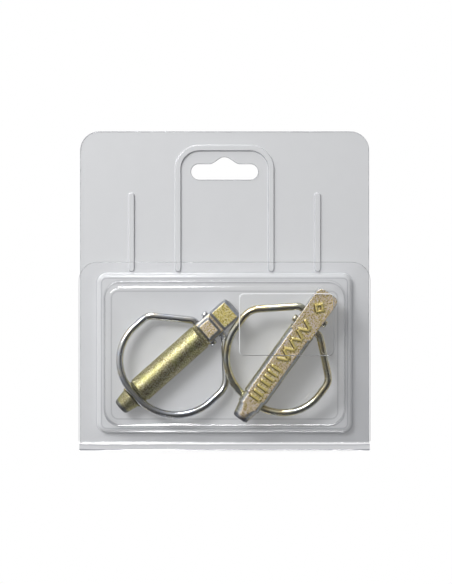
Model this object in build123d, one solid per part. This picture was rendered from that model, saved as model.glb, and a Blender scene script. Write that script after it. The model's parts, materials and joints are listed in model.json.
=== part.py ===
"""Two linch pins with sprung rings in a clear fold-over hang pack.

Millimetres, +Z up. The origin is the centre of the hang slot on the card's back face, and the
pack's front faces -Y. A depth is a distance in front of the card's back face, so it is -Y.
A pin is built in its own frame: x runs from its tip to its head, z points to its ring side, and
y points to the side where the first end of the ring enters the head.
"""
from build123d import *
from math import atan2, cos, degrees, hypot, radians, sin
import os

# ---- clear sheet -------------------------------------------------------------------------------
SHEET = 0.5
HALF_WIDTH = 64.8
CARD_TOP = 18.2
CARD_CORNER = 8.5
CARD_FOLD_Z = -121.3
FLAP_FOLD_Z = -124.2
FLAP_TOP = -40.5
FLAP_CORNER = 8.5
FLANGE_DEPTH = 4.7
BEAD_RADIUS = 0.25
FOLD_GAP = 0.55
GUSSET_SHEET = 0.4

SLOT_WIDTH = 30.0
SLOT_HEIGHT = 6.9
SLOT_BUMP_WIDTH = 10.8
SLOT_BUMP_RISE = 3.1

RIB_WIDTH = 2.7
RIB_HEIGHT = 1.3
RIB_DRAFT = 10
SIDE_RIB_X = 41.7
SIDE_RIB_TOP = -9.4
ARCH_HALF_WIDTH = 22.2
ARCH_TOP = 12.0
ARCH_CORNER = 10.8

TRAY_HALF_WIDTH = 56.8
TRAY_TOP = -45.6
TRAY_BOTTOM = -116.6
TRAY_CORNER = 4.2
TRAY_HEIGHT = 4.0
TRAY_DRAFT = 6
TRAY_EDGE = 0.7

POCKET_HALF_WIDTH = 52.9
POCKET_TOP = -49.4
POCKET_BOTTOM = -112.7
POCKET_CORNER = 7.2
POCKET_DRAFT = 3
POCKET_FRONT = 20.0
POCKET_EDGE = 4.0

WINDOW_LEFT = 6.2
WINDOW_RIGHT = 47.2
WINDOW_TOP = -54.4
WINDOW_BOTTOM = -81.4
WINDOW_CORNER = 2.0
WINDOW_STEP = 0.6

# ---- forged pin --------------------------------------------------------------------------------
PIN_LENGTH = 67.0
SHANK_RADIUS = 5.75
FLAT_HEIGHT = -4.0
TIP_RADIUS = 3.4
TIP_BASE_RADIUS = 4.85
TIP_CHAMFER = 0.5
NOTCH_START = 7.0
NOTCH_END = 11.5
NOTCH_FLOOR = 1.5
NOTCH_CORE_RADIUS = 5.2
CORE_OVERLAP = 0.5
SHANK_CHAMFER = 0.45
SHANK_END = 47.2
NECK_END = 49.0
NECK_HEIGHT = 1.7
HEAD_HALF_WIDTH = 5.2
HEAD_HEIGHT = 2.4
HEAD_CORNER = 2.8
HEAD_EDGE = 0.8
HEAD_OVERLAP = 2.0

SMALL_BLOCK_X = 52.3
SMALL_BLOCK_BASE = (7.4, 9.2)
SMALL_BLOCK_FACE = (5.4, 6.6)
SMALL_BLOCK_TOP = 5.0
LARGE_BLOCK_X = 61.6
LARGE_BLOCK_BASE = (10.0, 10.2)
LARGE_BLOCK_FACE = (7.4, 8.6)
LARGE_BLOCK_TOP = 6.2
BLOCK_BASE_Z = 1.6
BLOCK_BASE_CORNER = 0.9
BLOCK_FACE_CORNER = 0.5
BLOCK_EDGE = 0.3

MARK_RISE = 0.25
MARK_HEIGHT = 4.6
MARK_STROKE = 0.95
MARK_PITCH = 2.6
MARK_OVERLAP = 0.2
UPRIGHT_MARKS = 7
UPRIGHT_START = 11.5
SLANTED_MARKS = 8
SLANTED_START = 32.0
MARK_SLANT = 25
DIAMOND_X = 59.2
DIAMOND_SIZE = 3.6

# ---- ring --------------------------------------------------------------------------------------
WIRE_RADIUS = 1.65
BORE_RADIUS = 1.72
BORE_A_X = 49.6
BORE_A_Z = -1.0
BORE_SPACING = 5.4
RING_TIP_X = 9.0
RING_TIP_Z = NOTCH_FLOOR + WIRE_RADIUS + 0.15
RING_SIDE_A = 22.4
RING_SIDE_B = -24.4
RING_BEND_A = 20.0
RING_BEND_B = 22.5
SHOULDER_A_X = 35.8
SHOULDER_B_X = 40.8
SHOULDER_BEND_A = 6.5
SHOULDER_BEND_B = 9.0
END_BEND = 3.0
END_CORNER = 7.3
STUB = 1.2
SIDE_CLEARANCE = 0.75
WIRE_END_CHAMFER = 0.35

# ---- where the pins lie: tip-to-head direction in the pack's plane, middle of the axis, depth ----
LEFT_PIN = {"angle": 41.7, "middle": (-20.95, -82.54), "depth": 8.8, "side": -1}
RIGHT_PIN = {"angle": 54.4, "middle": (26.06, -81.72), "depth": 14.8, "side": 1}


def front_plane(depth):
    """Sketch plane parallel to the card: x is +X, y is +Z and the normal faces the viewer."""
    return Plane(origin=(0, -depth, 0), x_dir=(1, 0, 0), z_dir=(0, -1, 0))


def panel(left, right, bottom, top, corner, depth, thickness, draft=0):
    """Plate or block parallel to the card, with rounded corners, growing towards the front."""
    outline = Pos((left + right) / 2, (bottom + top) / 2) * RectangleRounded(
        right - left, top - bottom, corner
    )
    return extrude(front_plane(depth) * outline, amount=thickness, taper=draft)


def round_front(block, radius):
    """Round the edges of a block's front face."""
    front = block.faces().sort_by(Axis.Y)[0]
    return fillet(front.edges(), radius)


def plate_with_top_corners(half_width, bottom, top, corner, depth):
    """Plate whose two top corners are rounded and whose bottom edge is a straight fold."""
    plate = panel(-half_width, half_width, bottom - corner, top, corner, depth, SHEET)
    cut = Pos(0, bottom - corner) * Rectangle(3 * half_width, 2 * corner)
    return plate - extrude(front_plane(depth - SHEET) * cut, amount=3 * SHEET)


# ---- hang card ---------------------------------------------------------------------------------
def hang_slot():
    """Euro slot: a round-ended slot with a domed rise in the middle of its top edge."""
    slot = SlotOverall(SLOT_WIDTH, SLOT_HEIGHT)
    dome = Pos(0, SLOT_HEIGHT / 2) * Ellipse(SLOT_BUMP_WIDTH / 2, SLOT_BUMP_RISE)
    return extrude(front_plane(-SHEET) * (slot + dome), amount=3 * SHEET)


def side_rib_outline(x, width):
    """Footprint of a straight rib with a round top, run down into the tray."""
    length = SIDE_RIB_TOP - TRAY_TOP + RIB_WIDTH
    middle = (SIDE_RIB_TOP + TRAY_TOP - RIB_WIDTH) / 2
    shrink = RIB_WIDTH - width
    return Pos(x, middle) * Rot(0, 0, 90) * SlotOverall(length - shrink, width)


def arch_rib_outline(width):
    """Footprint of the rib that arches over the slot, run down into the tray."""
    inset = (RIB_WIDTH - width) / 2
    bottom = TRAY_TOP - RIB_WIDTH
    outer_half = ARCH_HALF_WIDTH - inset
    outer_top = ARCH_TOP - inset
    outer_height = outer_top - bottom + ARCH_CORNER
    inner_height = outer_height - width
    outer = Pos(0, outer_top - outer_height / 2) * RectangleRounded(
        2 * outer_half, outer_height, ARCH_CORNER - inset
    )
    inner = Pos(0, outer_top - width - inner_height / 2) * RectangleRounded(
        2 * (outer_half - width), inner_height, ARCH_CORNER - inset - width
    )
    below = Pos(0, bottom - ARCH_CORNER) * Rectangle(4 * outer_half, 2 * ARCH_CORNER)
    return outer - inner - below


def rib_outlines(width):
    """Footprints of the three pressed ribs at one width."""
    return [
        side_rib_outline(-SIDE_RIB_X, width),
        side_rib_outline(SIDE_RIB_X, width),
        arch_rib_outline(width),
    ]


def hang_card():
    """Back panel with its slot, its pressed ribs and the raised tray that closes the pocket."""
    card = plate_with_top_corners(HALF_WIDTH, CARD_FOLD_Z + FOLD_GAP, CARD_TOP, CARD_CORNER, 0)
    for outline in rib_outlines(RIB_WIDTH):
        card += extrude(front_plane(0) * outline, amount=SHEET + RIB_HEIGHT, taper=RIB_DRAFT)
    tray = panel(
        -TRAY_HALF_WIDTH,
        TRAY_HALF_WIDTH,
        TRAY_BOTTOM,
        TRAY_TOP,
        TRAY_CORNER,
        0,
        TRAY_HEIGHT + SHEET,
        TRAY_DRAFT,
    )
    card += round_front(tray, TRAY_EDGE)
    tray_inside = panel(
        -TRAY_HALF_WIDTH + SHEET,
        TRAY_HALF_WIDTH - SHEET,
        TRAY_BOTTOM + SHEET,
        TRAY_TOP - SHEET,
        TRAY_CORNER - SHEET,
        0,
        TRAY_HEIGHT,
        TRAY_DRAFT,
    )
    card -= tray_inside
    for outline in rib_outlines(RIB_WIDTH - 2 * SHEET):
        card -= extrude(front_plane(0) * outline, amount=RIB_HEIGHT, taper=RIB_DRAFT)
    return card - hang_slot()


# ---- bottom gusset -----------------------------------------------------------------------------
def bottom_gusset():
    """Narrow panel between the two folds, with a round bead of thin sheet along each fold."""
    rise = CARD_FOLD_Z - FLAP_FOLD_Z
    length = hypot(FLANGE_DEPTH, rise)
    slope = degrees(atan2(rise, FLANGE_DEPTH))
    fold_line = Plane(origin=(0, -SHEET / 2, CARD_FOLD_Z), x_dir=(1, 0, 0), z_dir=(0, 0, 1))
    strip = Pos(0, -length / 2, 0) * Box(2 * HALF_WIDTH, length, GUSSET_SHEET)
    gusset = fold_line * Rot(slope, 0, 0) * strip
    for depth, height in ((SHEET / 2, CARD_FOLD_Z), (FLANGE_DEPTH + SHEET / 2, FLAP_FOLD_Z)):
        bead = Pos(0, -depth, height) * Rot(0, 90, 0) * Cylinder(BEAD_RADIUS, 2 * HALF_WIDTH)
        gusset += bead
    return gusset


# ---- front flap --------------------------------------------------------------------------------
def front_flap():
    """Front panel with the deep pocket that holds the pins and a small stepped label window."""
    flap = plate_with_top_corners(HALF_WIDTH, FLAP_FOLD_Z + FOLD_GAP, FLAP_TOP, FLAP_CORNER, FLANGE_DEPTH)
    pocket = panel(
        -POCKET_HALF_WIDTH,
        POCKET_HALF_WIDTH,
        POCKET_BOTTOM,
        POCKET_TOP,
        POCKET_CORNER,
        FLANGE_DEPTH,
        POCKET_FRONT - FLANGE_DEPTH,
        POCKET_DRAFT,
    )
    inside = panel(
        -POCKET_HALF_WIDTH + SHEET,
        POCKET_HALF_WIDTH - SHEET,
        POCKET_BOTTOM + SHEET,
        POCKET_TOP - SHEET,
        POCKET_CORNER - SHEET,
        FLANGE_DEPTH,
        POCKET_FRONT - SHEET - FLANGE_DEPTH,
        POCKET_DRAFT,
    )
    flap += round_front(pocket, POCKET_EDGE)
    window = panel(
        WINDOW_LEFT,
        WINDOW_RIGHT,
        WINDOW_BOTTOM,
        WINDOW_TOP,
        WINDOW_CORNER,
        POCKET_FRONT - SHEET,
        SHEET + WINDOW_STEP,
    )
    flap += window
    flap -= round_front(inside, POCKET_EDGE - SHEET)
    window_inside = panel(
        WINDOW_LEFT + SHEET,
        WINDOW_RIGHT - SHEET,
        WINDOW_BOTTOM + SHEET,
        WINDOW_TOP - SHEET,
        WINDOW_CORNER - SHEET,
        POCKET_FRONT - 2 * SHEET,
        SHEET + WINDOW_STEP,
    )
    return flap - window_inside


# ---- forged pin --------------------------------------------------------------------------------
def block(x, base, face, top):
    """Forged block on the head: a rectangle that tapers to its raised face."""
    bottom = Plane(origin=(x, 0, BLOCK_BASE_Z)) * RectangleRounded(base[0], base[1], BLOCK_BASE_CORNER)
    crown = Plane(origin=(x, 0, top)) * RectangleRounded(face[0], face[1], BLOCK_FACE_CORNER)
    return fillet(loft([bottom, crown]).faces().sort_by(Axis.Z)[-1].edges(), BLOCK_EDGE)


def marks():
    """Plain raised strokes on the flat back: upright bars, slanted bars and one diamond."""
    shapes = []
    for index in range(UPRIGHT_MARKS):
        place = Pos(UPRIGHT_START + MARK_PITCH * index, 0)
        shapes.append(place * Rectangle(MARK_STROKE, MARK_HEIGHT))
    for index in range(SLANTED_MARKS):
        slant = MARK_SLANT if index % 2 else -MARK_SLANT
        place = Pos(SLANTED_START + MARK_PITCH * index, 0) * Rot(0, 0, slant)
        shapes.append(place * Rectangle(MARK_STROKE, MARK_HEIGHT))
    diamond = Rectangle(DIAMOND_SIZE, DIAMOND_SIZE) - Rectangle(DIAMOND_SIZE / 2, DIAMOND_SIZE / 2)
    shapes.append(Pos(DIAMOND_X, 0) * Rot(0, 0, 45) * diamond)
    plane = Plane(origin=(0, 0, FLAT_HEIGHT - MARK_RISE))
    return [extrude(plane * shape, amount=MARK_RISE + MARK_OVERLAP) for shape in shapes]


def along_x(start, end, start_radius, end_radius):
    """Round stretch of the forging from one x to another."""
    length = end - start
    middle = Pos((start + end) / 2, 0, 0) * Rot(0, 90, 0)
    if start_radius == end_radius:
        return middle * Cylinder(start_radius, length)
    return middle * Cone(start_radius, end_radius, length)


def ring_plane_tilt():
    """Angle between the ring's plane and the pin's axis, from the first bore to the notch."""
    return degrees(atan2(RING_TIP_Z - BORE_A_Z, BORE_A_X - RING_TIP_X))


def bores():
    """The two bores that take the wire's ends, right across the head."""
    tilt = radians(ring_plane_tilt())
    places = [
        (BORE_A_X, BORE_A_Z),
        (BORE_A_X + BORE_SPACING * cos(tilt), BORE_A_Z - BORE_SPACING * sin(tilt)),
    ]
    return [Pos(x, 0, z) * Rot(90, 0, 0) * Cylinder(BORE_RADIUS, 4 * HEAD_HALF_WIDTH) for x, z in places]


def above(start, end, height):
    """Block of space over the forging, from one x to another and from a height up."""
    return Pos((start + end) / 2, 0, height + PIN_LENGTH / 2) * Box(end - start, PIN_LENGTH, PIN_LENGTH)


def linch_pin():
    """Forged pin: cone tip, ring notch, round shank with one flat, and a head with two blocks."""
    tip = along_x(0, NOTCH_START, TIP_RADIUS, TIP_BASE_RADIUS)
    tip = chamfer(tip.edges().sort_by(Axis.X)[0], TIP_CHAMFER)
    core_start = NOTCH_START - CORE_OVERLAP
    core_end = NOTCH_END + CORE_OVERLAP
    core = along_x(core_start, core_end, NOTCH_CORE_RADIUS, NOTCH_CORE_RADIUS)
    core -= above(core_start, core_end, NOTCH_FLOOR)
    shank = along_x(NOTCH_END, SHANK_END, SHANK_RADIUS, SHANK_RADIUS)
    shank = chamfer(shank.edges().filter_by(GeomType.CIRCLE), SHANK_CHAMFER)
    head_length = PIN_LENGTH - SHANK_END + HEAD_OVERLAP
    head_height = 2 * HEAD_HEIGHT - FLAT_HEIGHT
    head = Pos(PIN_LENGTH - head_length / 2, 0, HEAD_HEIGHT - head_height / 2) * Box(
        head_length, 2 * HEAD_HALF_WIDTH, head_height
    )
    head = fillet(head.edges().filter_by(Axis.Z).group_by(Axis.X)[-1], HEAD_CORNER)
    head = fillet(head.faces().sort_by(Axis.Z)[-1].edges(), HEAD_EDGE)
    head -= above(SHANK_END, NECK_END, NECK_HEIGHT)
    pin = tip + core + shank + head
    pin += block(SMALL_BLOCK_X, SMALL_BLOCK_BASE, SMALL_BLOCK_FACE, SMALL_BLOCK_TOP)
    pin += block(LARGE_BLOCK_X, LARGE_BLOCK_BASE, LARGE_BLOCK_FACE, LARGE_BLOCK_TOP)
    pin -= Pos(0, 0, FLAT_HEIGHT - PIN_LENGTH / 2) * Box(3 * PIN_LENGTH, PIN_LENGTH, PIN_LENGTH)
    for mark in marks():
        pin += mark
    for bore in bores():
        pin -= bore
    return pin


# ---- ring --------------------------------------------------------------------------------------
def ring_route():
    """Corners and bend radii of the wire's centre line, in the ring's own plane."""
    second_bore = BORE_A_X + BORE_SPACING
    tip_x = BORE_A_X - hypot(BORE_A_X - RING_TIP_X, RING_TIP_Z - BORE_A_Z)
    corners = [
        (BORE_A_X, -HEAD_HALF_WIDTH - STUB),
        (BORE_A_X, END_CORNER),
        (SHOULDER_A_X, RING_SIDE_A),
        (tip_x, RING_SIDE_A),
        (tip_x, RING_SIDE_B),
        (SHOULDER_B_X, RING_SIDE_B),
        (second_bore, -END_CORNER),
        (second_bore, -HEAD_HALF_WIDTH - SIDE_CLEARANCE),
    ]
    radii = [END_BEND, SHOULDER_BEND_A, RING_BEND_A, RING_BEND_B, SHOULDER_BEND_B, END_BEND]
    return corners, radii


def spring_ring():
    """Bent wire ring. The first end fills the first bore and stands out beyond it."""
    corners, radii = ring_route()
    flat = Plane.XY.offset(BORE_A_Z)
    path = flat * FilletPolyline(*corners, radius=radii, close=False)
    section = Plane(origin=path @ 0, z_dir=path % 0) * Circle(WIRE_RADIUS)
    wire = sweep(section, path=path)
    ends = wire.faces().filter_by(GeomType.PLANE)
    wire = chamfer([edge for face in ends for edge in face.edges()], WIRE_END_CHAMFER)
    pivot = Axis((BORE_A_X, 0, BORE_A_Z), (0, 1, 0))
    return wire.rotate(pivot, ring_plane_tilt())


def pin_frame(place):
    """The pin's frame in the pack: its tip end, with x to the head and z to the ring side."""
    direction = (cos(radians(place["angle"])), 0, sin(radians(place["angle"])))
    x = place["middle"][0] - direction[0] * PIN_LENGTH / 2
    z = place["middle"][1] - direction[2] * PIN_LENGTH / 2
    return Plane(origin=(x, -place["depth"], z), x_dir=direction, z_dir=(0, place["side"], 0))


# ---- write the parts ---------------------------------------------------------------------------
nodes = {
    "hang_card": hang_card(),
    "bottom_gusset": bottom_gusset(),
    "front_flap": front_flap(),
}
for name, place in (("left", LEFT_PIN), ("right", RIGHT_PIN)):
    location = pin_frame(place).location
    nodes[f"linch_pin_{name}"] = location * linch_pin()
    nodes[f"spring_ring_{name}"] = location * spring_ring()

os.makedirs("parts", exist_ok=True)
for name, shape in nodes.items():
    export_step(shape, f"parts/{name}.step")
    print(name, shape.is_valid, len(shape.solids()), round(shape.volume, 1))
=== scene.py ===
import json
import math

import bmesh
import bpy
from mathutils import Matrix, Vector


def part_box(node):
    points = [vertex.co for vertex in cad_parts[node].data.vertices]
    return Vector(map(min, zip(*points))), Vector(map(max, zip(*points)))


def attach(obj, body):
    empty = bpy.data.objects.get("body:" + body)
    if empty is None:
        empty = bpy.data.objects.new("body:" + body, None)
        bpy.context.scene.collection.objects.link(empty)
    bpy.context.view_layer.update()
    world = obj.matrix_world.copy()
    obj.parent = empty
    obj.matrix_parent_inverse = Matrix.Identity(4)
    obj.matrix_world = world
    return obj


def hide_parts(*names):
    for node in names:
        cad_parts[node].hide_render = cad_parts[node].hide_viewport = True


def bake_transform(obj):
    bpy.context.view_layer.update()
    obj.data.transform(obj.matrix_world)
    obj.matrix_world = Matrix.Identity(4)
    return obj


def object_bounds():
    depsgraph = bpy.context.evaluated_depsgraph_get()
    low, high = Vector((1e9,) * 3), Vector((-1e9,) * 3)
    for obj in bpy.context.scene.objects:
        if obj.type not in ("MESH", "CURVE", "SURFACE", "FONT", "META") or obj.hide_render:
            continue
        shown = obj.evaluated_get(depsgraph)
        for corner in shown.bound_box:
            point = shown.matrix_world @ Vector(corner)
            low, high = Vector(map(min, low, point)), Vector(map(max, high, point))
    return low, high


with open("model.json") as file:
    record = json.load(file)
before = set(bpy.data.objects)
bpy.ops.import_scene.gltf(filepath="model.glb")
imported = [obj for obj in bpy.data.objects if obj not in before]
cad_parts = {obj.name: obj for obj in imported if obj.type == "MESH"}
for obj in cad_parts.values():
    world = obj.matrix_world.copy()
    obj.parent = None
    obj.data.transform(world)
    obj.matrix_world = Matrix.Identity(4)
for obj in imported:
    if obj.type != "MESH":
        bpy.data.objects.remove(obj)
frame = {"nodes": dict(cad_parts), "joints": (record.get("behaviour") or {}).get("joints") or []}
cad_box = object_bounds()
joints = {joint["name"]: joint for joint in frame["joints"]}
scene = bpy.context.scene
MM = 0.001

# Two linch pins in a clear hang pack. The sizes of the pack, pins and rings are in millimetres. The
# camera, lights, floor, bumps and textures are in metres, unless a comment says otherwise. An outline
# of the pack is a list of (x, z), and a depth is how far a point stands in front of the plane y = 0.

# ---- sizes of the pack -------------------------------------------------------------------------
HALF_WIDTH = cad_box[1].x / MM
CARD_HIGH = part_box("hang_card")[1] / MM
FLAP_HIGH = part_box("front_flap")[1] / MM
CARD_FOLD = Vector(joints["gusset_folds"]["pos_m"]) / MM
FLAP_FOLD = Vector(joints["flap_opens"]["pos_m"]) / MM
CARD_DEPTH = -CARD_FOLD.y
FLAP_DEPTH = -FLAP_FOLD.y
PACK_CORNER = 8.5

RIM_WIDTH = 0.3
HALF_SHEET = 0.25

SLOT_HALF_WIDTH = 15.0
SLOT_RADIUS = 3.45
DOME_HALF_WIDTH = 6.6
DOME_RISE = 3.1
DOME_FULLNESS = 0.85
DOME_STEPS = 24

# The sides of each panel are its left, right, bottom and top.
TRAY = (-56.8, 56.8, -116.6, -45.6)
TRAY_CORNER = 4.2
TRAY_HEIGHT = 4.0
TRAY_DRAFT = 6
POCKET = (-52.9, 52.9, -112.7, -49.4)
POCKET_CORNER = 7.2
POCKET_FACE = 19.75
POCKET_DRAFT = 3
WINDOW = (6.2, 47.2, -81.4, -54.4)
WINDOW_CORNER = 2.2
WINDOW_FACE = 20.3
WINDOW_DRAFT = 38
# The window's wall line is below zero: a painted milky highlight along the window's lower edge.
WINDOW_LINE_GLINT = -0.95

RIB_WIDTH = 2.7
RIB_HEIGHT = 1.0
RIB_DRAFT = 12
# The ribs' wall line is painted shade along their walls.
RIB_LINE_SHADE = 2.4
RIB_FOOT_GAP = 2.2
SIDE_RIB_X = 41.7
SIDE_RIB_TOP = -9.4
ARCH_HALF_WIDTH = 22.2
ARCH_TOP = 12.0
ARCH_BEND = 9.45

# Each row of the flap's ridge: how far below the ridge's top, how far out of the flap, and the painted line
# shade along it.
RIDGE_ROWS = [
    (0.0, 0.0, 0.5),
    (0.2, 0.05, 0),
    (1.2, 1.15, 0.1),
    (1.4, 1.25, 2.2),
    (1.7, 1.25, 1.3),
    (3.3, 1.25, 1.1),
    (3.6, 1.1, 2.4),
    (4.1, 0.0, 2.0),
]
RIDGE_HEIGHT = RIDGE_ROWS[-1][0]
RIDGE_MITRE = 5.5

GUSSET_ROWS = 8
GUSSET_SAG = 0.35
GUSSET_SIDE_GAP = 0.2
HINGE_BEAD_RADIUS = 0.24
COLUMNS = 40

# ---- sizes of the pins and rings ---------------------------------------------------------------
# A pin's own x runs from its tip to its head, its y across it, and its z up from its flat side.
BORE_X, BORE_Z = 49.6, -1.0
SECOND_BORE_X = 55.0
HEAD_HALF_WIDTH = 5.2
FLAT_HEIGHT = -4.0
FORGING_VOXEL = 0.18
FORGING_UNEVENNESS = 0.05

RING_TIP = (9.0, 3.3)
RING_SIDE_A, RING_SIDE_B = 22.4, -24.4
SHOULDER_A_X, SHOULDER_B_X = 35.8, 40.8
END_CORNER = 7.3
RING_BENDS = [3, 6.5, 20, 22.5, 9, 3]
WIRE_RADIUS = 1.65
WIRE_ROUNDING = 0.35
WIRE_STUB = 1.3
WIRE_SIDES = 20
WIRE_UV_LENGTH = 100
ARC_STEP = 0.7
LONGEST_PIECE = 1.2

MARK_HEIGHT = 4.6
MARK_STROKE = 0.95
MARK_PITCH = 2.6
UPRIGHT_MARKS, UPRIGHT_START = 7, 11.5
SLANTED_MARKS, SLANTED_START = 8, 32.0
MARK_SLANT = 25
DIAMOND_X, DIAMOND_REACH = 59.2, 1.908
MARK_SHADE_SHIFT = (0.25, 0.5)
FAR_FROM_MARKS = 3.0

# ---- camera, lights and room, in metres --------------------------------------------------------
CAMERA_PLACE = (0.00063, -0.5, -0.05386)
CAMERA_LENS = 68.7
FLOOR_RADIUS = 4
FLOOR_DROP = 0.22
PACK_MIDDLE = (0, 0, -0.08)
BACKWARD = (0, 1, 0)
UP_LEFT_AND_FRONT = (-0.62, -0.36, 0.70)

# ---- colours -----------------------------------------------------------------------------------
WHITE = (1, 1, 1)
# Each stop is a place from 0 to 1 and its colour.
ROOM_BY_DEPTH = [
    (0.0, (0.02, 0.02, 0.025)),
    (0.28, (0.03, 0.03, 0.0303)),
    (0.42, (0.12, 0.12, 0.1212)),
    (0.58, (0.5, 0.5, 0.505)),
    (0.75, (0.8, 0.8, 0.808)),
    (1.0, (0.9, 0.9, 0.91)),
]
ROOM_BY_SIDE = [
    (0.45, (0, 0, 0)),
    (0.6, (0.06, 0.06, 0.06)),
    (0.7, (0.18, 0.18, 0.18)),
    (0.85, (0.6, 0.6, 0.6)),
    (1.0, WHITE),
]
MILK = (0.86, 0.87, 0.89)
# Colour of the milk under the painted line shade.
MILK_IN_PAINTED_LINE_SHADE = (0.30, 0.31, 0.36)
OLIVE = [
    (0.38, (0.16, 0.12, 0.05)),
    (0.47, (0.36, 0.32, 0.14)),
    (0.54, (0.52, 0.49, 0.27)),
    (0.62, (0.66, 0.62, 0.46)),
]
PINK = [
    (0.39, (0.50, 0.34, 0.10)),
    (0.47, (0.98, 0.86, 0.42)),
    (0.53, (0.94, 0.74, 0.54)),
    (0.61, (1.0, 0.92, 0.92)),
]
GOLD = [
    (0.39, (0.44, 0.30, 0.04)),
    (0.47, (0.98, 0.84, 0.22)),
    (0.61, (1.0, 0.90, 0.60)),
]
SILVER = [
    (0.35, (0.34, 0.36, 0.40)),
    (0.6, (0.70, 0.72, 0.74)),
]
GREEN_PATCH = (0.45, 0.47, 0.13)
# Near-black blue-grey laid on side-on faces and on the tip's end: painted shade.
PAINTED_EDGE_SHADE = (0.10, 0.11, 0.15)
STROKE_SHADE = (0.10, 0.06, 0.02)
STROKE_TOP = (1.0, 0.84, 0.30)


# ---- node graphs -------------------------------------------------------------------------------
class Graph:
    """Adds nodes to a node tree. Any value may be a plain one or another node's output."""

    # A Mix node has sockets for every kind of value. These are the ones for colours.
    MIX_FACTOR, MIX_FIRST, MIX_SECOND = 0, 6, 7
    MIX_RESULT = 2

    def __init__(self, tree):
        self.nodes = tree.nodes
        self.links = tree.links

    def put(self, socket, value):
        if isinstance(value, bpy.types.NodeSocket):
            self.links.new(value, socket)
        elif socket.type == "RGBA":
            socket.default_value = (*value, 1)
        else:
            socket.default_value = value

    def add(self, kind, **values):
        """A new node. Each value goes to a setting of that name or, if it has none, to an input."""
        made = self.nodes.new(kind)
        for key, value in values.items():
            if hasattr(made, key):
                setattr(made, key, value)
            else:
                self.put(made.inputs[key.replace("_", " ")], value)
        return made

    def maths(self, operation, *operands, clamp=False):
        made = self.add("ShaderNodeMath", operation=operation, use_clamp=clamp)
        for socket, value in zip(made.inputs, operands):
            self.put(socket, value)
        return made.outputs[0]

    def vector_maths(self, operation, first, second):
        made = self.add("ShaderNodeVectorMath", operation=operation)
        self.put(made.inputs[0], first)
        self.put(made.inputs[1], second)
        return made.outputs["Value" if operation == "DOT_PRODUCT" else "Vector"]

    def split(self, vector):
        return self.add("ShaderNodeSeparateXYZ", Vector=vector).outputs

    def noise(self, place, **values):
        return self.add("ShaderNodeTexNoise", Vector=place, **values).outputs["Fac"]

    def painted(self, name):
        """A value that the mesh holds at its vertices."""
        return self.add("ShaderNodeAttribute", attribute_name=name).outputs["Fac"]

    def spread(self, value, low, high, to_low=0.0, to_high=1.0):
        """A value taken from one range to another, and held inside the second."""
        ends = {"From_Min": low, "From_Max": high, "To_Min": to_low, "To_Max": to_high}
        return self.add("ShaderNodeMapRange", Value=value, **ends).outputs[0]

    def ramp(self, value, stops):
        made = self.nodes.new("ShaderNodeValToRGB")
        elements = made.color_ramp.elements
        for index in (0, -1):
            elements[index].position = stops[index][0]
            elements[index].color = (*stops[index][1], 1)
        for position, colour in stops[1:-1]:
            elements.new(position).color = (*colour, 1)
        self.links.new(value, made.inputs[0])
        return made.outputs[0]

    def mix(self, factor, first, second, blend="MIX"):
        made = self.add("ShaderNodeMix", data_type="RGBA", blend_type=blend)
        self.put(made.inputs[self.MIX_FACTOR], factor)
        self.put(made.inputs[self.MIX_FIRST], first)
        self.put(made.inputs[self.MIX_SECOND], second)
        return made.outputs[self.MIX_RESULT]

    def mix_shaders(self, factor, first, second):
        made = self.nodes.new("ShaderNodeMixShader")
        for socket, source in zip(made.inputs, (factor, first, second)):
            self.links.new(source, socket)
        return made.outputs[0]

    def camera_or_light(self, seen, lit):
        """The first shader to the camera, and the second to light and reflections."""
        path = self.nodes.new("ShaderNodeLightPath")
        return self.mix_shaders(path.outputs["Is Camera Ray"], lit, seen)


def new_material(name):
    material = bpy.data.materials.new(name)
    material.use_nodes = True
    return material, Graph(material.node_tree)


# ---- camera, light and surroundings ------------------------------------------------------------
def link_object(name, data):
    obj = bpy.data.objects.new(name, data)
    scene.collection.objects.link(obj)
    return obj


def camera():
    data = bpy.data.cameras.new("camera")
    data.lens = CAMERA_LENS
    data.sensor_width = 36
    obj = link_object("camera", data)
    obj.location = CAMERA_PLACE
    obj.rotation_euler = (math.radians(90), 0, 0)
    scene.camera = obj


sheets = bpy.data.collections.new("sheets")


def softbox(name, place, target, size, power, only_shine=False, only_sheets=False):
    """Rectangular light. It may act on gloss alone, and on the clear sheets alone."""
    data = bpy.data.lights.new(name, "AREA")
    data.shape = "RECTANGLE"
    data.size, data.size_y = size
    data.energy = power
    obj = link_object(name, data)
    obj.visible_diffuse = not only_shine
    if only_sheets:
        obj.light_linking.receiver_collection = sheets
    obj.location = place
    obj.rotation_euler = (Vector(target) - Vector(place)).to_track_quat("-Z", "Y").to_euler()


def studio_world():
    """White to the camera. Light and reflections see a room that is bright behind and upper left."""
    world = bpy.data.worlds.new("studio")
    scene.world = world
    world.use_nodes = True
    graph = Graph(world.node_tree)
    graph.nodes.clear()
    direction = graph.nodes.new("ShaderNodeTexCoord").outputs["Generated"]

    def graded(axis, stops):
        """Colour by how far a direction points along an axis, from 0 against it to 1 along it."""
        along = graph.vector_maths("DOT_PRODUCT", direction, axis)
        return graph.ramp(graph.maths("MULTIPLY_ADD", along, 0.5, 0.5), stops)

    by_depth = graded(BACKWARD, ROOM_BY_DEPTH)
    by_side = graded(UP_LEFT_AND_FRONT, ROOM_BY_SIDE)
    room = graph.add("ShaderNodeBackground", Color=graph.mix(1.0, by_depth, by_side, "LIGHTEN"))
    shown = graph.add("ShaderNodeBackground", Color=WHITE)
    surface = graph.camera_or_light(shown.outputs[0], room.outputs[0])
    graph.add("ShaderNodeOutputWorld", Surface=surface)


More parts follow.
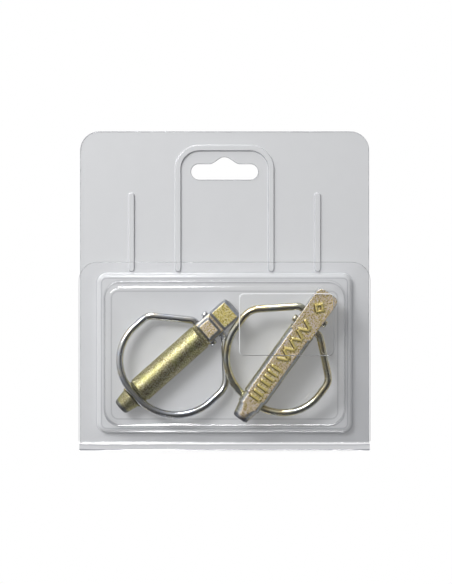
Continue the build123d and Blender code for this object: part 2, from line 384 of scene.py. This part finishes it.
def floor():
    """White to the camera, and nothing at all to light and reflections."""
    bm = bmesh.new()
    bmesh.ops.create_circle(bm, cap_ends=True, segments=96, radius=FLOOR_RADIUS)
    mesh = bpy.data.meshes.new("floor")
    bm.to_mesh(mesh)
    bm.free()
    obj = link_object("floor", mesh)
    obj.location = (0, 0, cad_box[0].z - FLOOR_DROP)
    material, graph = new_material("floor")
    graph.nodes.clear()
    paper = graph.add("ShaderNodeEmission", Color=WHITE)
    unlit = graph.nodes.new("ShaderNodeBsdfTransparent")
    surface = graph.camera_or_light(paper.outputs[0], unlit.outputs[0])
    graph.add("ShaderNodeOutputMaterial", Surface=surface)
    mesh.materials.append(material)


def lights():
    softbox("key", (-0.36, -0.56, 0.30), PACK_MIDDLE, size=(0.30, 0.24), power=3.1)
    softbox("top", (-0.085, -0.28, 0.52), (-0.03, 0, -0.08), (0.12, 0.30), 2.2, only_shine=True)
    # These two stay below the pack and behind the plane y = 0. Further forward, the pocket's flat
    # face mirrors them into the views from above.
    only = {"only_shine": True, "only_sheets": True}
    softbox("low", (-0.045, 0.035, -0.30), (-0.035, -0.02, -0.112), (0.026, 0.20), 0.4, **only)
    softbox("low_wide", (0.04, 0.05, -0.30), (0.02, -0.02, -0.09), (0.2, 0.04), 0.5, **only)
    softbox("broad_top", (0.10, -0.16, 0.7), PACK_MIDDLE, size=(0.7, 0.3), power=0.35)
    softbox("right_fill", (0.6, -0.35, -0.05), PACK_MIDDLE, size=(0.3, 0.4), power=0.15)


camera()
studio_world()
floor()
scene.view_settings.view_transform = "Standard"
lights()


# ---- materials ---------------------------------------------------------------------------------
def sheet_body(graph, place, facing, tint, edge_on_tint_and_line_shade, haze, line):
    """See-through plastic with some milk in it. It darkens edge-on, with painted shade and painted
    highlights on its bend lines.
    """
    line_shade_and_glint = graph.painted("line_shade_and_glint")
    # Painted line shade: the line value darkens the tint and the milk towards the edge-on colour.
    painted_line_shade = graph.maths("MULTIPLY", line_shade_and_glint, line)
    edge_on = graph.maths("POWER", facing, 4.0)
    colour = graph.mix(painted_line_shade, graph.mix(edge_on, tint, edge_on_tint_and_line_shade), edge_on_tint_and_line_shade)
    through = graph.add("ShaderNodeBsdfTransparent", Color=colour)
    milk = graph.add("ShaderNodeBsdfDiffuse", Color=graph.mix(painted_line_shade, MILK, MILK_IN_PAINTED_LINE_SHADE))
    cloud = graph.noise(place, Scale=22.0, Detail=3.0)
    cloudy = graph.spread(cloud, 0.0, 1.0, haze * 0.85, haze * 1.15)
    # Painted highlight: a line value below zero adds milk.
    painted_glint = graph.maths("MULTIPLY", line_shade_and_glint, -1.0, clamp=True)
    milkiness = graph.maths("ADD", cloudy, painted_glint, clamp=True)
    return graph.mix_shaders(milkiness, through.outputs[0], milk.outputs[0])


def clear_sheet(name, tint, edge_on_tint_and_line_shade, haze, line):
    """Thin clear sheet, glossy on a rippled face.

    A vertex value paints bend lines: painted shade above 0, a painted milky highlight below. The gloss
    rises towards grazing views by a curve that is the same on both sides of the sheet, which Fresnel is not.
    """
    material, graph = new_material(name)
    graph.nodes.clear()
    place = graph.nodes.new("ShaderNodeTexCoord").outputs["Object"]
    facing = graph.add("ShaderNodeLayerWeight", Blend=0.5).outputs["Facing"]
    body = sheet_body(graph, place, facing, tint, edge_on_tint_and_line_shade, haze, line)
    ripple = graph.noise(place, Scale=95.0, Detail=2.0, Roughness=0.45)
    bump = graph.add("ShaderNodeBump", Strength=0.15, Distance=0.0004, Height=ripple)
    gloss = graph.add("ShaderNodeBsdfAnisotropic", Roughness=0.16, Color=WHITE, Normal=bump.outputs[0])
    grazing = graph.maths("POWER", facing, 5.0)
    mirror = graph.maths("MULTIPLY_ADD", grazing, 0.75, 0.048, clamp=True)
    surface = graph.mix_shaders(mirror, body, gloss.outputs[0])
    graph.add("ShaderNodeOutputMaterial", Surface=surface)
    return material


def painted_strokes(graph, plate, gold):
    """The plate with its raised strokes: gold sides, a dark side below and a bright top."""
    stroke = graph.painted("stroke")
    shade = graph.painted("stroke_shade")
    plate = graph.mix(graph.spread(stroke, 1.1, 0.2, to_high=0.85), plate, gold)
    plate = graph.mix(graph.spread(shade, 0.12, -0.08, to_high=0.95), plate, STROKE_SHADE)
    return graph.mix(graph.spread(stroke, 0.02, -0.12, to_high=0.9), plate, STROKE_TOP)


def plated_forging(name, to_local):
    """Yellow zinc plate over a grainy forging. The tint goes by where on the pin a point is.

    Its textures and places are in the pin's own frame, in millimetres. Side-on faces get painted shade.
    """
    material, graph = new_material(name)
    shader = graph.nodes["Principled BSDF"]
    graph.put(shader.inputs["Metallic"], 1.0)
    place = graph.nodes.new("ShaderNodeTexCoord")
    local = graph.add(
        "ShaderNodeMapping",
        Vector=place.outputs["Object"],
        Scale=(1 / MM, 1 / MM, 1 / MM),
        Rotation=to_local.to_euler(),
        Location=to_local.translation / MM,
    ).outputs[0]
    x, _, z = graph.split(local)
    grain = graph.noise(local, Scale=2.2, Detail=1.5, Roughness=0.6)
    elsewhere = graph.vector_maths("ADD", local, (31, 17, 5))
    tint = graph.noise(elsewhere, Scale=1.8, Detail=1.5, Roughness=0.6)
    patches = graph.noise(local, Scale=0.2, Detail=2.0)
    gold = graph.ramp(tint, GOLD)
    level = graph.maths("ABSOLUTE", graph.split(place.outputs["Normal"])["Y"])

    barrel = graph.mix(graph.spread(patches, 0.45, 0.7, to_high=0.4), graph.ramp(grain, OLIVE), GREEN_PATCH)
    top_of_head = graph.maths("MULTIPLY", graph.spread(x, 56.5, 57.5), graph.spread(z, 1.0, 3.0))
    pressed = graph.mix(top_of_head, graph.ramp(tint, PINK), gold)
    pressed = graph.mix(graph.spread(level, 0.84, 0.96), graph.ramp(grain, SILVER), pressed)
    # Painted shade: faces turned side-on to the front are mixed towards near-black blue-grey.
    pressed = graph.mix(graph.spread(level, 0.6, 0.35, to_high=0.45), pressed, PAINTED_EDGE_SHADE)
    flat_side = graph.spread(z, -1.0, -3.4)
    head_or_flat = graph.maths("MAXIMUM", graph.spread(x, 48.3, 49.0), flat_side)
    plate = graph.mix(head_or_flat, barrel, pressed)
    # Painted shade on the end of the tip.
    plate = graph.mix(graph.spread(x, 2.2, 1.2, to_high=0.8), plate, PAINTED_EDGE_SHADE)
    graph.put(shader.inputs["Base Color"], painted_strokes(graph, plate, gold))

    graph.put(shader.inputs["Roughness"], graph.spread(head_or_flat, 0.0, 1.0, 0.47, 0.5))
    fine = graph.add("ShaderNodeBump", Strength=1.0, Distance=0.00007, Height=grain)
    graph.put(shader.inputs["Normal"], fine.outputs[0])
    return material


def plated_wire(name, warmth):
    """Bright zinc plate on drawn wire, with a thin yellow tint that comes and goes along it."""
    material, graph = new_material(name)
    shader = graph.nodes["Principled BSDF"]
    graph.put(shader.inputs["Metallic"], 1.0)
    place = graph.nodes.new("ShaderNodeTexCoord")
    patches = graph.noise(place.outputs["Object"], Scale=130.0, Detail=3.0)
    yellowing = [
        (0.32, (0.58, 0.61, 0.68)),
        (0.5, (0.70, 0.69, 0.66 - 0.1 * warmth)),
        (0.68, (0.74, 0.67 - 0.04 * warmth, 0.50 - 0.12 * warmth)),
    ]
    shifted = graph.maths("ADD", patches, 0.12 * warmth - 0.05)
    graph.put(shader.inputs["Base Color"], graph.ramp(shifted, yellowing))
    drawn = graph.add("ShaderNodeMapping", Vector=place.outputs["UV"], Scale=(700, 6, 1))
    scratches = graph.noise(drawn.outputs[0], Scale=1.0, Detail=2.0)
    graph.put(shader.inputs["Roughness"], graph.spread(scratches, 0.3, 0.7, 0.1, 0.2))
    fine = graph.add("ShaderNodeBump", Strength=0.2, Distance=0.00003, Height=scratches)
    graph.put(shader.inputs["Normal"], fine.outputs[0])
    return material


# ---- outlines ----------------------------------------------------------------------------------
def arc_points(centre, radius, start, end, steps):
    """Points of an arc between two angles, in degrees."""
    first = math.radians(start)
    turn = math.radians(end - start)
    angles = [first + turn * i / steps for i in range(steps + 1)]
    return [(centre[0] + radius * math.cos(a), centre[1] + radius * math.sin(a)) for a in angles]


def straight_points(x, start, end, steps):
    return [(x, start + (end - start) * i / steps) for i in range(steps + 1)]


def rounded_loop(left, right, bottom, top, radius, steps=12):
    """Outline of a rounded rectangle."""
    radius = max(radius, 0.05)
    return (
        arc_points((right - radius, top - radius), radius, 0, 90, steps)
        + arc_points((left + radius, top - radius), radius, 90, 180, steps)
        + arc_points((left + radius, bottom + radius), radius, 180, 270, steps)
        + arc_points((right - radius, bottom + radius), radius, 270, 360, steps)
    )


def top_corner_outline(bottom, top, steps=14):
    """Open outline of a panel with two round top corners, anticlockwise from its lower right."""
    corner = PACK_CORNER
    outline = [(HALF_WIDTH, bottom)]
    outline += arc_points((HALF_WIDTH - corner, top - corner), corner, 0, 90, steps)
    outline += arc_points((corner - HALF_WIDTH, top - corner), corner, 90, 180, steps)
    outline.append((-HALF_WIDTH, bottom))
    return outline


def slot_outline(steps=14):
    """Euro slot: round ends and a domed bell in the middle of the top edge."""
    middle = SLOT_HALF_WIDTH - SLOT_RADIUS
    right = arc_points((middle, 0), SLOT_RADIUS, -90, 90, steps)
    left = arc_points((-middle, 0), SLOT_RADIUS, 90, 270, steps)
    dome = []
    for i in range(1, DOME_STEPS):
        x = DOME_HALF_WIDTH - 2 * DOME_HALF_WIDTH * i / DOME_STEPS
        swell = 0.5 + 0.5 * math.cos(math.pi * x / DOME_HALF_WIDTH)
        dome.append((x, SLOT_RADIUS + DOME_RISE * swell**DOME_FULLNESS))
    return right + [(DOME_HALF_WIDTH, SLOT_RADIUS)] + dome + [(-DOME_HALF_WIDTH, SLOT_RADIUS)] + left


def neighbours(outline, i, closed):
    """The points before and after a point. An open outline stops at its ends."""
    if closed:
        return outline[i - 1], outline[(i + 1) % len(outline)]
    return outline[max(i - 1, 0)], outline[min(i + 1, len(outline) - 1)]


def offset(outline, distance, closed=True):
    """Outline moved to its left by a distance."""
    moved = []
    for i, (x, z) in enumerate(outline):
        before, after = neighbours(outline, i, closed)
        dx, dz = after[0] - before[0], after[1] - before[1]
        length = math.hypot(dx, dz) or 1
        moved.append((x - dz / length * distance, z + dx / length * distance))
    return moved


def band_loop(path, half_width, cap_steps=8):
    """Closed outline round an open path, with round ends."""
    left = offset(path, half_width, closed=False)
    right = offset(path, -half_width, closed=False)

    def cap(middle, start_point):
        start = math.degrees(math.atan2(start_point[1] - middle[1], start_point[0] - middle[0]))
        return arc_points(middle, half_width, start, start - 180, cap_steps)[1:-1]

    return left + cap(path[-1], left[-1]) + right[::-1] + cap(path[0], right[0])


def step_profile(low, high, draft, foot_radius, crest_radius, steps=7, support=0.3, wall_line=0.0):
    """(inset, depth, painted line value) of a drafted step with a rounded foot and a rounded crest.

    The third value paints thin lines where bent sheet shows them: painted shade above 0 and a painted
    highlight below 0, along the step's two ends, or along its wall where a wall line is given.
    Support is how far the flat sheet goes on past each end.
    """
    turn = math.radians(90 - draft)
    foot = foot_radius * math.tan(turn / 2)
    crest = crest_radius * math.tan(turn / 2)
    run = (high - low) * math.tan(math.radians(draft))
    end_line = 0.0 if wall_line else 1.0
    lines = [end_line] + [0.0] * (steps - 1) + [wall_line]
    points = [(-foot - support, low, 0)]
    for i in range(steps + 1):
        a = turn * i / steps
        inset = -foot + foot_radius * math.sin(a)
        points.append((inset, low + foot_radius * (1 - math.cos(a)), lines[i]))
    for i in range(steps + 1):
        a = turn * (1 - i / steps)
        inset = run + crest - crest_radius * math.sin(a)
        points.append((inset, high - crest_radius * (1 - math.cos(a)), lines[steps - i]))
    points.append((run + crest + support, high, 0))
    return points


# ---- thermoformed sheets -----------------------------------------------------------------------
class Sheet:
    """A single skin built from loops of points and flat fills."""

    def __init__(self):
        self.bm = bmesh.new()
        # Per vertex: painted shade along bend lines above zero, a painted milky highlight below zero.
        self.line_shade_and_glint = self.bm.verts.layers.float.new("line_shade_and_glint")

    def vert(self, x, depth, z, line_shade_and_glint=0.0):
        made = self.bm.verts.new((x * MM, -depth * MM, z * MM))
        made[self.line_shade_and_glint] = line_shade_and_glint
        return made

    def loop(self, outline, depth, line_shade_and_glint=0.0):
        return [self.vert(x, depth, z, line_shade_and_glint) for x, z in outline]

    def bridge(self, first, second, closed=True):
        count = len(first)
        for i in range(count if closed else count - 1):
            j = (i + 1) % count
            face = self.bm.faces.new((first[i], first[j], second[j], second[i]))
            face.smooth = True

    def stack(self, loops, closed=True):
        """Bridges each loop to the next. Returns the first and the last."""
        for first, second in zip(loops, loops[1:]):
            self.bridge(first, second, closed)
        return loops[0], loops[-1]

    def nested(self, sides, corner, profile):
        """Step all round a rounded rectangle."""
        left, right, bottom, top = sides
        loops = []
        for inset, depth, line_shade_and_glint in profile:
            outline = rounded_loop(left + inset, right - inset, bottom + inset, top - inset, corner - inset)
            loops.append(self.loop(outline, depth, line_shade_and_glint))
        return self.stack(loops)

    def fill(self, *loops):
        """Flat sheet inside the first loop and outside the others."""
        edges = []
        for verts in loops:
            for i, vert in enumerate(verts):
                other = verts[(i + 1) % len(verts)]
                edges.append(self.bm.edges.get((vert, other)) or self.bm.edges.new((vert, other)))
        bmesh.ops.triangle_fill(self.bm, use_beauty=True, edges=edges, normal=(0, -1, 0))

    def rim(self, outline, depth, inward, closed=True):
        """Cut edge of the sheet along an outline, shown as a narrow roof with painted line shade on its tip.
        Returns the skin's loop.
        """
        inner = offset(outline, inward * RIM_WIDTH, closed)
        tip = self.loop(outline, depth, 1.0)
        for half in (HALF_SHEET, -HALF_SHEET):
            self.bridge(tip, self.loop(inner, depth + half), closed)
        return self.loop(inner, depth)

    def rib(self, path):
        """Rib pressed out of the card along a path. Returns its outer loop."""
        crest_depth = CARD_DEPTH + RIB_HEIGHT
        profile = step_profile(
            CARD_DEPTH, crest_depth, RIB_DRAFT, 0.3, 0.3, steps=4, support=0.12, wall_line=RIB_LINE_SHADE
        )
        half = RIB_WIDTH / 2
        loops = [self.loop(band_loop(path, half - inset), depth, line_shade_and_glint) for inset, depth, line_shade_and_glint in profile]
        outer, crest = self.stack(loops)
        self.fill(crest)
        return outer

    def finish(self, name, body, material, source):
        bmesh.ops.remove_doubles(self.bm, verts=self.bm.verts, dist=1e-7)
        bmesh.ops.recalc_face_normals(self.bm, faces=self.bm.faces)
        mesh = bpy.data.meshes.new(name)
        self.bm.to_mesh(mesh)
        self.bm.free()
        obj = link_object(name, mesh)
        sheets.objects.link(obj)
        mesh.materials.append(material)
        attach(obj, body)
        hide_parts(source)


def arch_path(foot):
    """Centre line of the arched rib, up its right leg and down its left one."""
    half = ARCH_HALF_WIDTH - RIB_WIDTH / 2
    spring = ARCH_TOP - RIB_WIDTH / 2 - ARCH_BEND
    path = straight_points(half, foot, spring, 14)[:-1]
    path += arc_points((half - ARCH_BEND, spring), ARCH_BEND, 0, 90, 12)
    path += arc_points((ARCH_BEND - half, spring), ARCH_BEND, 90, 180, 12)
    return path + straight_points(-half, spring, foot, 14)[1:]


def card_sheet(material):
    sheet = Sheet()
    outline = top_corner_outline(CARD_FOLD.z, CARD_HIGH.z)
    border = sheet.rim(outline, CARD_DEPTH, 1, closed=False)
    slot = sheet.rim(slot_outline(), CARD_DEPTH, -1)
    rib_foot = TRAY[3] + RIB_FOOT_GAP
    rib_top = SIDE_RIB_TOP - RIB_WIDTH / 2
    ribs = [sheet.rib(straight_points(x, rib_foot, rib_top, 12)) for x in (-SIDE_RIB_X, SIDE_RIB_X)]
    ribs.append(sheet.rib(arch_path(rib_foot)))
    profile = step_profile(CARD_DEPTH, CARD_DEPTH + TRAY_HEIGHT, TRAY_DRAFT, 0.6, 1.9)
    foot, crest = sheet.nested(TRAY, TRAY_CORNER, profile)
    sheet.fill(border, slot, foot, *ribs)
    sheet.fill(crest)
    sheet.finish("card_sheet", "card", material, "hang_card")


def flap_ridge(sheet, border, top):
    """Ridge along the flap's lower edge, which fades out towards both ends."""
    left, right = border[-1].co.x / MM, border[0].co.x / MM
    lines = []
    for down, out, line_shade_and_glint in RIDGE_ROWS:
        line = []
        for i in range(COLUMNS + 1):
            x = left + (right - left) * i / COLUMNS
            mitre = min(1.0, min(x - left, right - x) / RIDGE_MITRE)
            line.append(sheet.vert(x, FLAP_DEPTH + out * mitre, top - down, line_shade_and_glint))
        lines.append(line)
    sheet.stack(lines, closed=False)


def flap_sheet(material):
    sheet = Sheet()
    ridge_top = FLAP_FOLD.z + RIDGE_HEIGHT
    border = sheet.rim(top_corner_outline(ridge_top, FLAP_HIGH.z), FLAP_DEPTH, 1, closed=False)
    pocket = step_profile(FLAP_DEPTH, POCKET_FACE, POCKET_DRAFT, 0.8, 3.6, steps=10)
    foot, crest = sheet.nested(POCKET, POCKET_CORNER, pocket)
    sheet.fill(border, foot)
    window = step_profile(
        POCKET_FACE, WINDOW_FACE, WINDOW_DRAFT, 0.2, 0.2, steps=4, support=0.1, wall_line=WINDOW_LINE_GLINT
    )
    outer, inner = sheet.nested(WINDOW, WINDOW_CORNER, window)
    sheet.fill(crest, outer)
    sheet.fill(inner)
    flap_ridge(sheet, border, ridge_top)
    sheet.finish("flap_sheet", "flap", material, "front_flap")


def gusset_sheet(material):
    """Narrow bottom panel, with a bead along each of its two hinges."""
    sheet = Sheet()
    left, right = GUSSET_SIDE_GAP - HALF_WIDTH, HALF_WIDTH - GUSSET_SIDE_GAP
    lines = []
    for j in range(GUSSET_ROWS + 1):
        t = j / GUSSET_ROWS
        depth = CARD_DEPTH + (FLAP_DEPTH - CARD_DEPTH) * t
        height = CARD_FOLD.z + (FLAP_FOLD.z - CARD_FOLD.z) * t + GUSSET_SAG * math.sin(math.pi * t)
        columns = [left + (right - left) * i / COLUMNS for i in range(COLUMNS + 1)]
        lines.append([sheet.vert(x, depth, height) for x in columns])
    sheet.stack(lines, closed=False)
    for hinge in (CARD_FOLD, FLAP_FOLD):
        circle = arc_points((hinge.y, hinge.z), HINGE_BEAD_RADIUS, 0, 360, 10)[:-1]
        ends = [[sheet.vert(x, -y, z) for y, z in circle] for x in (-HALF_WIDTH, HALF_WIDTH)]
        sheet.bridge(*ends)
    sheet.finish("gusset_sheet", "gusset", material, "bottom_gusset")


# Each sheet's line strength sets how dark its painted line shade is.
card_plastic = clear_sheet(
    "clear_card", tint=(0.70, 0.705, 0.715), edge_on_tint_and_line_shade=(0.10, 0.11, 0.15), haze=0.77, line=0.5
)
flap_plastic = clear_sheet(
    "clear_flap", tint=(0.995, 0.996, 0.998), edge_on_tint_and_line_shade=(0.12, 0.13, 0.17), haze=0.025, line=0.32
)
card_sheet(card_plastic)
flap_sheet(flap_plastic)
gusset_sheet(flap_plastic)


# ---- pins --------------------------------------------------------------------------------------
def pin_axes(joint, side):
    """Matrix from a pin's own frame, in millimetres, to the model's frame, in metres."""
    across = Vector(joints[joint]["axis"]).normalized()
    up = Vector((0, side, 0))
    along = across.cross(up)
    turn = Matrix((along, across, up)).transposed()
    pivot = Vector(joints[joint]["pos_m"]) / MM
    origin = pivot - turn @ Vector((BORE_X, 0, BORE_Z))
    return Matrix.Scale(MM, 4) @ Matrix.Translation(origin) @ turn.to_4x4()


def mark_strokes():
    """(place, slant) of every raised stroke on a pin's flat side."""
    strokes = [(UPRIGHT_START + MARK_PITCH * i, 0) for i in range(UPRIGHT_MARKS)]
    for i in range(SLANTED_MARKS):
        strokes.append((SLANTED_START + MARK_PITCH * i, MARK_SLANT if i % 2 else -MARK_SLANT))
    return strokes


def mark_distance(x, y, strokes):
    """Distance from a spot on the flat side to the nearest mark, below zero inside one."""
    nearest = abs(abs(x - DIAMOND_X) + abs(y) - DIAMOND_REACH) / math.sqrt(2) - MARK_STROKE / 2
    for place, slant in strokes:
        dx = x - place
        if abs(dx) > MARK_HEIGHT:
            continue
        turn = math.radians(slant)
        across = abs(dx * math.cos(turn) + y * math.sin(turn)) - MARK_STROKE / 2
        along = abs(y * math.cos(turn) - dx * math.sin(turn)) - MARK_HEIGHT / 2
        outside = math.hypot(max(across, 0), max(along, 0))
        nearest = min(nearest, outside + min(max(across, along), 0))
    return nearest


def paint_marks(mesh, to_local):
    """Vertex values: how far each point of the flat side is from a mark, and from its shade."""
    strokes = mark_strokes()
    stroke = mesh.attributes.new("stroke", "FLOAT", "POINT")
    stroke_shade = mesh.attributes.new("stroke_shade", "FLOAT", "POINT")
    for vert in mesh.vertices:
        x, y, z = (to_local @ vert.co) / MM
        near = far = FAR_FROM_MARKS
        if z < FLAT_HEIGHT + 0.25:
            near = mark_distance(x, y, strokes)
            far = mark_distance(x + MARK_SHADE_SHIFT[0], y + MARK_SHADE_SHIFT[1], strokes)
        stroke.data[vert.index].value = near
        stroke_shade.data[vert.index].value = far


def worn_and_uneven(obj):
    """Rounds an object's edges and gives it an uneven skin, in its mesh."""
    remesh = obj.modifiers.new("skin", "REMESH")
    remesh.mode = "VOXEL"
    remesh.voxel_size = FORGING_VOXEL * MM
    remesh.use_smooth_shade = True
    smooth = obj.modifiers.new("wear", "SMOOTH")
    smooth.factor = 0.5
    smooth.iterations = 2
    lumps = bpy.data.textures.new(obj.name + "_lumps", "CLOUDS")
    lumps.noise_scale = 0.0009
    lumps.noise_depth = 1
    uneven = obj.modifiers.new("uneven", "DISPLACE")
    uneven.texture = lumps
    uneven.texture_coords = "GLOBAL"
    uneven.strength = FORGING_UNEVENNESS * MM
    uneven.mid_level = 0.5
    bpy.context.view_layer.update()
    evaluated = obj.evaluated_get(bpy.context.evaluated_depsgraph_get())
    mesh = bpy.data.meshes.new_from_object(evaluated)
    obj.modifiers.clear()
    obj.data = mesh


def forged_pin(name, source, body, axes):
    """The CAD pin with its edges worn round, an uneven forged skin and generic marks."""
    mesh = frame["nodes"][source].data.copy()
    mesh.materials.clear()
    obj = link_object(name, mesh)
    worn_and_uneven(obj)
    to_local = (axes @ Matrix.Scale(1 / MM, 4)).inverted()
    paint_marks(obj.data, to_local)
    obj.data.materials.append(plated_forging(name + "_plate", to_local))
    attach(obj, body)
    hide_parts(source)


# ---- rings -------------------------------------------------------------------------------------
def rounded_path(corners, radii):
    """Points of a path of straight runs joined by tangent arcs."""
    points = [Vector(corners[0])]
    for before, corner, after, radius in zip(corners, corners[1:], corners[2:], radii):
        a = (Vector(before) - Vector(corner)).normalized()
        b = (Vector(after) - Vector(corner)).normalized()
        half = a.angle(b) / 2
        tangent = radius / math.tan(half)
        centre = Vector(corner) + (a + b).normalized() * (radius / math.sin(half))
        start = Vector(corner) + a * tangent - centre
        turn = start.angle_signed(Vector(corner) + b * tangent - centre)
        count = max(4, int(abs(turn) * radius / ARC_STEP))
        for i in range(count + 1):
            points.append(centre + Matrix.Rotation(-turn * i / count, 2) @ start)
    points.append(Vector(corners[-1]))
    return divided(points)


def divided(points):
    """The same path with no doubled point and no long piece."""
    full = [points[0]]
    for point in points[1:]:
        start = full[-1]
        gap = (point - start).length
        if gap < 1e-5:
            continue
        pieces = max(1, int(gap / LONGEST_PIECE))
        full += [start.lerp(point, i / pieces) for i in range(1, pieces + 1)]
    return full


def ring_path(tip_x):
    """Centre line of a ring in its own plane, from one wire end to the other."""
    out = HEAD_HALF_WIDTH + WIRE_STUB
    corners = [
        (BORE_X, -out),
        (BORE_X, END_CORNER),
        (SHOULDER_A_X, RING_SIDE_A),
        (tip_x, RING_SIDE_A),
        (tip_x, RING_SIDE_B),
        (SHOULDER_B_X, RING_SIDE_B),
        (SECOND_BORE_X, -END_CORNER),
        (SECOND_BORE_X, out),
    ]
    return rounded_path(corners, RING_BENDS)


def wire_sections(path):
    """(centre, direction across, radius, distance along) of the wire, narrower at its two ends."""
    sections = []
    travelled = 0.0
    for i, point in enumerate(path):
        before, after = neighbours(path, i, closed=False)
        along = (after - before).normalized()
        travelled += (point - before).length
        sections.append((point, Vector((-along.y, along.x)), WIRE_RADIUS, travelled))
    narrow = WIRE_RADIUS - WIRE_ROUNDING
    start = path[0] + (path[0] - path[1]).normalized() * WIRE_ROUNDING
    end = path[-1] + (path[-1] - path[-2]).normalized() * WIRE_ROUNDING
    sections.insert(0, (start, sections[0][1], narrow, -WIRE_ROUNDING))
    sections.append((end, sections[-1][1], narrow, travelled + WIRE_ROUNDING))
    return sections


def wire_mesh(name, sections, tilted, axes):
    """Tube through the sections, with flat ends. Its UVs are the way round it and the way along."""
    bm = bmesh.new()
    layer = bm.loops.layers.uv.new("wire")
    loops = []
    for centre, across, radius, _ in sections:
        loop = []
        for k in range(WIRE_SIDES):
            a = 2 * math.pi * k / WIRE_SIDES
            flat = centre + across * (radius * math.cos(a))
            spot = tilted @ Vector((flat.x - BORE_X, flat.y, radius * math.sin(a)))
            loop.append(bm.verts.new(axes @ spot))
        loops.append(loop)
    ways = [section[3] / WIRE_UV_LENGTH for section in sections]
    for first, second, near, far in zip(loops, loops[1:], ways, ways[1:]):
        for k in range(WIRE_SIDES):
            m = (k + 1) % WIRE_SIDES
            face = bm.faces.new((first[k], first[m], second[m], second[k]))
            face.smooth = True
            turns = (k / WIRE_SIDES, (k + 1) / WIRE_SIDES)
            uv = ((turns[0], near), (turns[1], near), (turns[1], far), (turns[0], far))
            for corner, value in zip(face.loops, uv):
                corner[layer].uv = value
    bm.faces.new(loops[0])
    bm.faces.new(loops[-1])
    bmesh.ops.recalc_face_normals(bm, faces=bm.faces)
    mesh = bpy.data.meshes.new(name)
    bm.to_mesh(mesh)
    bm.free()
    return mesh


def spring_ring(name, source, axes, warmth):
    """Bent wire whose two ends go right through the head and stand a little out of it.

    It leans from its bore to the notch near the pin's tip.
    """
    reach = BORE_X - RING_TIP[0]
    rise = RING_TIP[1] - BORE_Z
    tilt = Matrix.Rotation(math.atan2(rise, reach), 4, "Y")
    tilted = Matrix.Translation((BORE_X, 0, BORE_Z)) @ tilt
    path = ring_path(BORE_X - math.hypot(reach, rise))
    obj = link_object(name, wire_mesh(name, wire_sections(path), tilted, axes))
    obj.data.materials.append(plated_wire(name + "_plate", warmth))
    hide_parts(source)
    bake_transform(obj)


left_axes = pin_axes("left_ring_swings", -1)
right_axes = pin_axes("right_ring_swings", 1)
forged_pin("left_pin_body", "linch_pin_left", "left_pin", left_axes)
forged_pin("right_pin_body", "linch_pin_right", "right_pin", right_axes)
spring_ring("left_ring_wire", "spring_ring_left", left_axes, warmth=0.0)
spring_ring("right_ring_wire", "spring_ring_right", right_axes, warmth=1.0)
